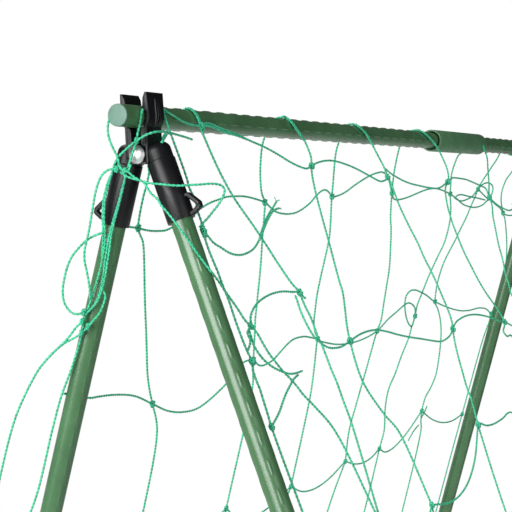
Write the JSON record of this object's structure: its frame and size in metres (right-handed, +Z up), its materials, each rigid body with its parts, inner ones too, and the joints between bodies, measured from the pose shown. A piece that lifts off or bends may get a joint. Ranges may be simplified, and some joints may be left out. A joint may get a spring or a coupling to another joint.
{
  "type": "climbing plant support",
  "caption": "Folding A-frame trellis of coated steel poles with a sleeved top rail, moulded hinge clamps and knotted twine netting down both sides",
  "frame": {"origin": "on the ground, midway between the four feet", "axes": "+Z up; Y along the top rail, with the near end of the rail at -Y; +X towards the front legs, which fold"},
  "size_m": [1.0118, 1, 1.5119],
  "materials": {
    "coated_tube": "dark green plastic coating over steel tube, satin, with small raised bumps",
    "sleeve_plastic": "dark green moulded sleeve, satin",
    "cap_plastic": "pale mint moulded plug, matte",
    "black_plastic": "black moulded nylon, satin to glossy",
    "bright_steel": "zinc-plated steel, bright",
    "net_twine": "bright green laid twine"
  },
  "bodies": {
    "root": {"rail_tube_near": "coated_tube", "rail_tube_far": "coated_tube", "rail_sleeve": "sleeve_plastic", "rail_cap_near": "cap_plastic", "rail_cap_far": "cap_plastic", "clamp_near_back": "black_plastic", "clamp_far_back": "black_plastic", "hinge_bolt_near": "bright_steel", "hinge_bolt_far": "bright_steel", "hinge_nut_near": "bright_steel", "hinge_nut_far": "bright_steel", "leg_upper_near_back": "coated_tube", "leg_sleeve_near_back": "sleeve_plastic", "leg_lower_near_back": "coated_tube", "foot_tip_near_back": "black_plastic", "leg_upper_far_back": "coated_tube", "leg_sleeve_far_back": "sleeve_plastic", "leg_lower_far_back": "coated_tube", "foot_tip_far_back": "black_plastic", "net_back": "net_twine", "net_top": "net_twine"},
    "front_leg_near": {"clamp_near_front": "black_plastic", "leg_upper_near_front": "coated_tube", "leg_sleeve_near_front": "sleeve_plastic", "leg_lower_near_front": "coated_tube", "foot_tip_near_front": "black_plastic", "net_front": "net_twine"},
    "front_leg_far": {"clamp_far_front": "black_plastic", "leg_upper_far_front": "coated_tube", "leg_sleeve_far_front": "sleeve_plastic", "leg_lower_far_front": "coated_tube", "foot_tip_far_front": "black_plastic"}
  },
  "joints": [
    {"name": "fold_near", "type": "hinge", "parent": "root", "child": "front_leg_near", "pos_m": [0, -0.467, 1.46843], "axis": [0, 1, 0], "range_deg": [0, 36.5]},
    {"name": "fold_far", "type": "hinge", "parent": "root", "child": "front_leg_far", "pos_m": [0, 0.467, 1.46843], "axis": [0, 1, 0], "range_deg": [0, 36.5]}
  ],
  "couplings": [
    {"joint": "fold_far", "follows": "fold_near", "ratio": 1}
  ]
}
